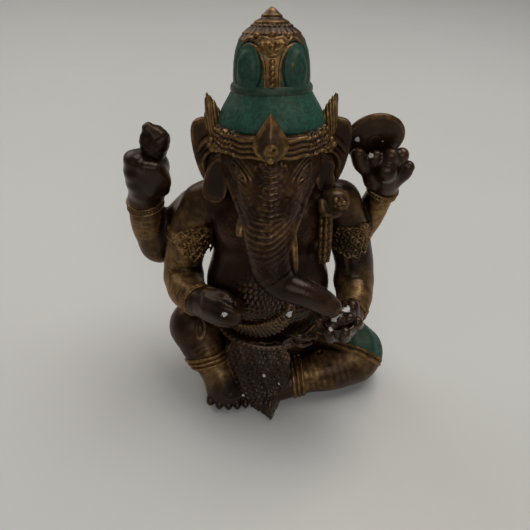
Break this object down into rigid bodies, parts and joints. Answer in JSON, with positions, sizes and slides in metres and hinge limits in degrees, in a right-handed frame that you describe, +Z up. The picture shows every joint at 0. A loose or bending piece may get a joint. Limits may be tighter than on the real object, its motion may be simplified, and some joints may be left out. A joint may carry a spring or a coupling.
{
  "type": "seated elephant-headed deity figure",
  "caption": "Seated four-armed elephant-headed deity in dark bronze with rubbed brass highlights and a tall green-touched crown; a free-standing figure for a shelf or shrine.",
  "frame": {"origin": "middle of the underside of the base plate, the face the figure stands on", "axes": "+Z up; the figure faces -Y; its own right side is -X"},
  "size_m": [0.1458, 0.093, 0.2],
  "materials": {
    "dark_bronze": "dark brown lacquered patina, worn through to brass on raised forms",
    "rubbed_brass": "patina rubbed back to warm brass",
    "green_paint": "dark verdigris-green paint over bronze, worn at the edges",
    "plate": "plain dark closing plate"
  },
  "bodies": {
    "root": {"apron_fringe": "dark_bronze", "axe_stub": "dark_bronze", "base_plate": "plate", "belt": "dark_bronze", "bowl": "dark_bronze", "chakra": "rubbed_brass", "crown_brim": "green_paint", "crown_crest": "rubbed_brass", "crown_dome": "dark_bronze", "crown_finial": "rubbed_brass", "crown_panels": "green_paint", "crown_ring": "green_paint", "diadem_band": "rubbed_brass", "diadem_plate": "rubbed_brass", "head": "dark_bronze", "hips": "dark_bronze", "left_anklet": "rubbed_brass", "left_armband": "rubbed_brass", "left_bracelet": "rubbed_brass", "left_ear": "dark_bronze", "left_ear_flame": "rubbed_brass", "left_foot": "dark_bronze", "left_forearm": "dark_bronze", "left_hand": "dark_bronze", "left_shin": "dark_bronze", "left_thigh": "dark_bronze", "left_tusk": "rubbed_brass", "left_upper_arm": "dark_bronze", "loin_tail": "dark_bronze", "rear_left_bracelet": "rubbed_brass", "rear_left_forearm": "dark_bronze", "rear_left_hand": "dark_bronze", "rear_left_upper_arm": "dark_bronze", "rear_right_bracelet": "rubbed_brass", "rear_right_forearm": "dark_bronze", "rear_right_hand": "dark_bronze", "rear_right_upper_arm": "dark_bronze", "right_anklet": "rubbed_brass", "right_armband": "rubbed_brass", "right_bracelet": "rubbed_brass", "right_ear": "dark_bronze", "right_ear_flame": "rubbed_brass", "right_foot": "dark_bronze", "right_forearm": "dark_bronze", "right_hand": "dark_bronze", "right_shin": "dark_bronze", "right_thigh": "dark_bronze", "right_tusk": "rubbed_brass", "right_upper_arm": "dark_bronze", "sacred_thread": "rubbed_brass", "sash_knot": "dark_bronze", "shoulder_clasp": "rubbed_brass", "sweets": "dark_bronze", "thigh_border": "rubbed_brass", "thigh_cloth": "green_paint", "torso": "dark_bronze", "trunk": "dark_bronze", "trunk_tip": "dark_bronze"}
  },
  "joints": []
}
